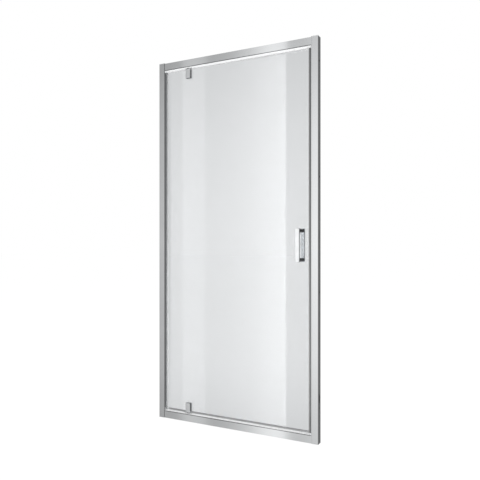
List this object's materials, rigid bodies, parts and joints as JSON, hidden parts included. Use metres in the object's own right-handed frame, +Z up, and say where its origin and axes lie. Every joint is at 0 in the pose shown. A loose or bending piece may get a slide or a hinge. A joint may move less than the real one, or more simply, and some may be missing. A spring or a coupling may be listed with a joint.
{
  "type": "pivot shower door",
  "caption": "Framed pivot shower door: one clear glass leaf on top and bottom pivots, with magnetic closing, a drip seal and bar pull handles, for a recess between two walls.",
  "frame": {"origin": "middle of the bottom rail's underside: half way between the walls, half way through the frame's depth, on the tray", "axes": "+Z up, +X to the right as seen from outside the shower, +Y into the shower; the closed leaf lies in the XZ plane"},
  "size_m": [0.9, 0.081, 1.9],
  "materials": {
    "bright_aluminium": "bright polished extrusion, chrome look",
    "chrome_plate": "polished chrome plate",
    "clear_glass": "clear toughened float, ground edges",
    "grey_seal": "soft grey vinyl seal profile",
    "dark_seal": "dark grey vinyl seal profile",
    "clear_seal": "smoked clear vinyl seal profile",
    "magnet_rubber": "magnetic rubber strip",
    "gasket_rubber": "dark grey gasket",
    "cap_plastic": "silver moulded plastic",
    "dark_plastic": "dark grey soft washer",
    "black_acetal": "black acetal, turned and moulded",
    "nylon": "natural nylon",
    "stainless_steel": "plain stainless"
  },
  "bodies": {
    "frame": {"adjuster_caps_left": "cap_plastic", "adjuster_caps_right": "cap_plastic", "adjuster_screws_left": "stainless_steel", "adjuster_screws_right": "stainless_steel", "bottom_holder_screws": "stainless_steel", "bottom_pivot_bush": "black_acetal", "bottom_pivot_holder": "black_acetal", "bottom_rail": "bright_aluminium", "corner_screws_left": "stainless_steel", "corner_screws_right": "stainless_steel", "jamb_left": "bright_aluminium", "jamb_right": "bright_aluminium", "post_cap_left": "cap_plastic", "post_cap_right": "cap_plastic", "strike_magnet_holder": "dark_seal", "strike_magnet_strip": "magnet_rubber", "top_holder_screws": "stainless_steel", "top_pivot_bush": "black_acetal", "top_pivot_holder": "black_acetal", "top_rail": "bright_aluminium", "wall_channel_left": "bright_aluminium", "wall_channel_right": "bright_aluminium"},
    "door": {"bottom_block_back": "chrome_plate", "bottom_block_front": "chrome_plate", "bottom_block_screws": "stainless_steel", "bottom_block_sleeves": "nylon", "bottom_gasket_back": "gasket_rubber", "bottom_gasket_front": "gasket_rubber", "bottom_pivot_pin": "stainless_steel", "bottom_thrust_washer": "black_acetal", "door_magnet_holder": "dark_seal", "door_magnet_strip": "magnet_rubber", "drip_seal_long": "grey_seal", "drip_seal_short": "grey_seal", "glass_panel": "clear_glass", "handle_bar_back": "chrome_plate", "handle_bar_front": "chrome_plate", "handle_glass_bushes": "nylon", "handle_grub_screws": "stainless_steel", "handle_post_back_lower": "chrome_plate", "handle_post_back_upper": "chrome_plate", "handle_post_front_lower": "chrome_plate", "handle_post_front_upper": "chrome_plate", "handle_studs": "stainless_steel", "handle_washers_back": "dark_plastic", "handle_washers_front": "dark_plastic", "hinge_edge_seal": "clear_seal", "top_block_back": "chrome_plate", "top_block_front": "chrome_plate", "top_block_screws": "stainless_steel", "top_block_sleeves": "nylon", "top_gasket_back": "gasket_rubber", "top_gasket_front": "gasket_rubber", "top_pivot_pin": "stainless_steel"}
  },
  "joints": [
    {"name": "leaf_pivot", "type": "hinge", "parent": "frame", "child": "door", "pos_m": [-0.276, 0.001, 0.043], "axis": [0, 0, -1], "range_deg": [0, 95]}
  ]
}
